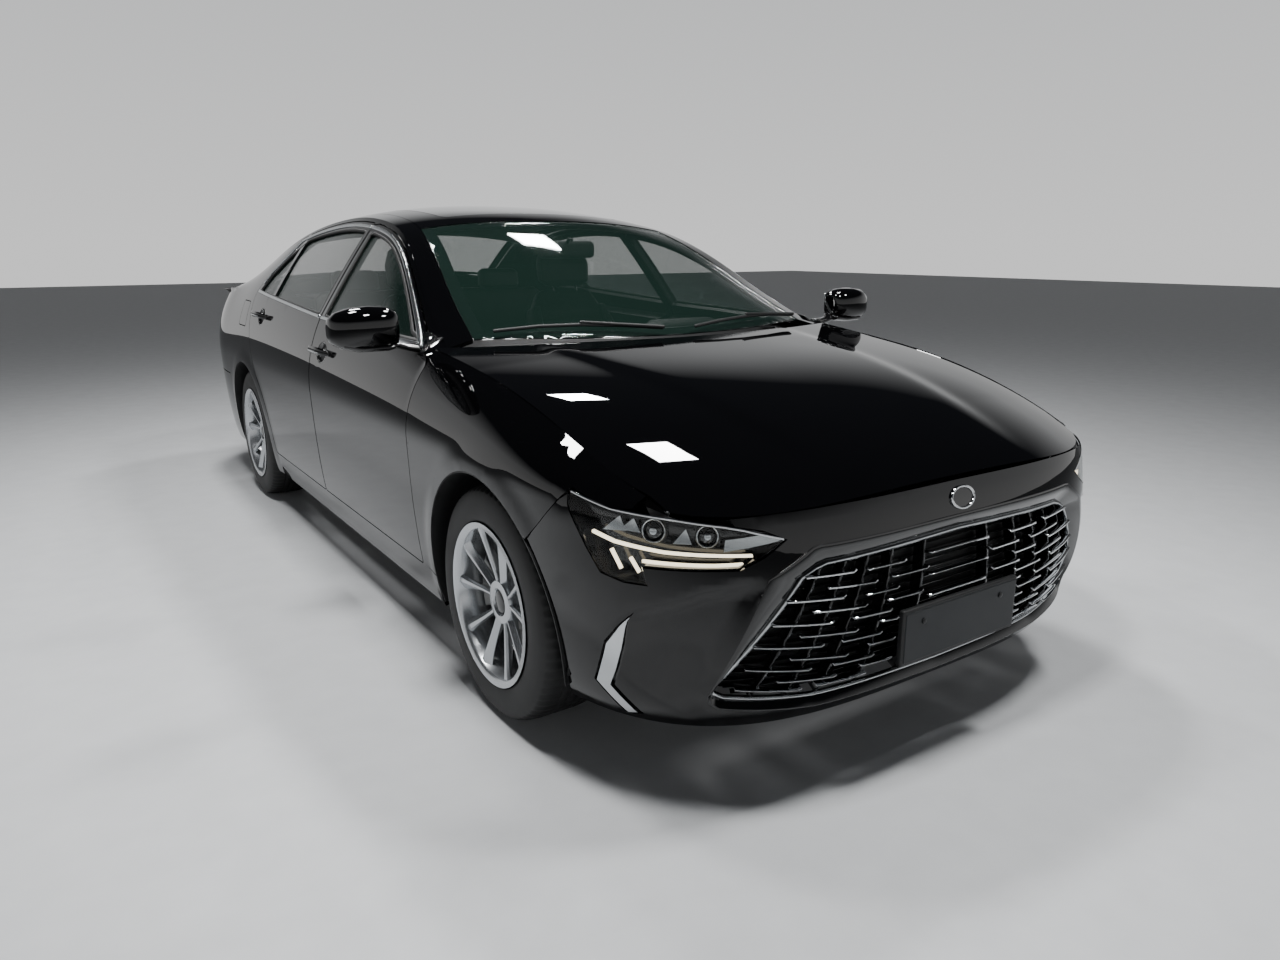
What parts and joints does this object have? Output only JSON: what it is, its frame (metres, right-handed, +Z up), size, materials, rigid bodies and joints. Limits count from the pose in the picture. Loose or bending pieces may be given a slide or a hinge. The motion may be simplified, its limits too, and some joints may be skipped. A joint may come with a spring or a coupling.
{
  "type": "sedan car",
  "caption": "Four-door sedan car with opening doors, hood and boot lid, steered front wheels and a hollow cabin with seats.",
  "frame": {"origin": "on the ground, in the middle of the car's length and width", "axes": "+Z up, +Y towards the tail (the nose points to -Y), +X towards the car's left side, the driver's side"},
  "size_m": [2.2032, 4.8087, 1.4494],
  "materials": {
    "alloy": "bright silver",
    "black_plastic": "satin black plastic",
    "cast": "cast finish",
    "dark_glass": "dark glass",
    "dark_metal": "satin underbody paint",
    "engine": "cast finish",
    "glass": "lightly green window glass",
    "lamp": "clear lamp lens",
    "leather": "dark leather",
    "paint": "gloss black paint",
    "plate": "dark blank plate",
    "steel": "exhaust steel",
    "tail_lens": "red lamp lens",
    "tyre": "rubber"
  },
  "bodies": {
    "car_body": {"floor_pan": "dark_metal", "body_side_left": "paint", "body_side_right": "paint", "roof_panel": "paint", "sunroof_glass": "dark_glass", "windshield": "glass", "rear_window": "glass", "front_fenders": "paint", "front_bumper": "paint", "rear_bumper": "paint", "grille": "black_plastic", "headlights": "lamp", "tail_lights": "tail_lens", "wipers": "black_plastic", "cowl_panel": "black_plastic", "front_plate": "plate", "wheel_liners": "black_plastic", "subframes": "dark_metal", "engine_block": "engine", "exhaust": "steel", "dashboard": "black_plastic", "front_seats": "leather", "rear_seat": "leather"},
    "door_fl": {"door_front_left": "paint", "glass_front_left": "glass", "mirror_left": "paint"},
    "door_fr": {"door_front_right": "paint", "glass_front_right": "glass", "mirror_right": "paint"},
    "door_rl": {"door_rear_left": "paint", "glass_rear_left": "glass"},
    "door_rr": {"door_rear_right": "paint", "glass_rear_right": "glass"},
    "hood_lid": {"hood": "paint"},
    "boot": {"boot_lid": "paint", "rear_plate": "plate"},
    "flap": {"fuel_flap": "paint"},
    "upright_left": {"knuckle_left": "cast"},
    "upright_right": {"knuckle_right": "cast"},
    "wheel_fl": {"tyre_front_left": "tyre", "rim_front_left": "alloy"},
    "wheel_fr": {"tyre_front_right": "tyre", "rim_front_right": "alloy"},
    "wheel_rl": {"tyre_rear_left": "tyre", "rim_rear_left": "alloy"},
    "wheel_rr": {"tyre_rear_right": "tyre", "rim_rear_right": "alloy"},
    "steering": {"steering_wheel": "black_plastic"}
  },
  "joints": [
    {"name": "door_front_left_swing", "type": "hinge", "parent": "car_body", "child": "door_fl", "pos_m": [0.9325, -1.049, 0.6], "axis": [0, 0, -1], "range_deg": [0, 66]},
    {"name": "door_front_right_swing", "type": "hinge", "parent": "car_body", "child": "door_fr", "pos_m": [-0.9325, -1.049, 0.6], "axis": [0, 0, 1], "range_deg": [0, 66]},
    {"name": "door_rear_left_swing", "type": "hinge", "parent": "car_body", "child": "door_rl", "pos_m": [0.9325, 0.035, 0.6], "axis": [0, 0, -1], "range_deg": [0, 66]},
    {"name": "door_rear_right_swing", "type": "hinge", "parent": "car_body", "child": "door_rr", "pos_m": [-0.9325, 0.035, 0.6], "axis": [0, 0, 1], "range_deg": [0, 66]},
    {"name": "hood_lift", "type": "hinge", "parent": "car_body", "child": "hood_lid", "pos_m": [0, -1.028, 1], "axis": [-1, 0, 0], "range_deg": [0, 52]},
    {"name": "boot_lift", "type": "hinge", "parent": "car_body", "child": "boot", "pos_m": [0, 1.772, 1.112], "axis": [1, 0, 0], "range_deg": [0, 75]},
    {"name": "flap_swing", "type": "hinge", "parent": "car_body", "child": "flap", "pos_m": [-0.918, 1.236, 0.93], "axis": [0, 0, 1], "range_deg": [0, 95]},
    {"name": "steer_left", "type": "hinge", "parent": "car_body", "child": "upright_left", "pos_m": [0.758, -1.54, 0.3285], "axis": [0, 0, 1], "range_deg": [-33, 33]},
    {"name": "steer_right", "type": "hinge", "parent": "car_body", "child": "upright_right", "pos_m": [-0.758, -1.54, 0.3285], "axis": [0, 0, 1], "range_deg": [-33, 33]},
    {"name": "steering_wheel_turn", "type": "hinge", "parent": "car_body", "child": "steering", "pos_m": [0.37, -0.542, 0.805], "axis": [0, 0.9135, 0.4067], "range_deg": [-480, 480]},
    {"name": "wheel_spin_front_left", "type": "hinge", "parent": "upright_left", "child": "wheel_fl", "pos_m": [0.798, -1.54, 0.3285], "axis": [1, 0, 0], "continuous": true},
    {"name": "wheel_spin_front_right", "type": "hinge", "parent": "upright_right", "child": "wheel_fr", "pos_m": [-0.798, -1.54, 0.3285], "axis": [1, 0, 0], "continuous": true},
    {"name": "wheel_spin_rear_left", "type": "hinge", "parent": "car_body", "child": "wheel_rl", "pos_m": [0.798, 1.29, 0.3285], "axis": [1, 0, 0], "continuous": true},
    {"name": "wheel_spin_rear_right", "type": "hinge", "parent": "car_body", "child": "wheel_rr", "pos_m": [-0.798, 1.29, 0.3285], "axis": [1, 0, 0], "continuous": true}
  ],
  "couplings": [
    {"joint": "steer_right", "follows": "steer_left", "ratio": 1},
    {"joint": "steering_wheel_turn", "follows": "steer_left", "ratio": 14}
  ]
}
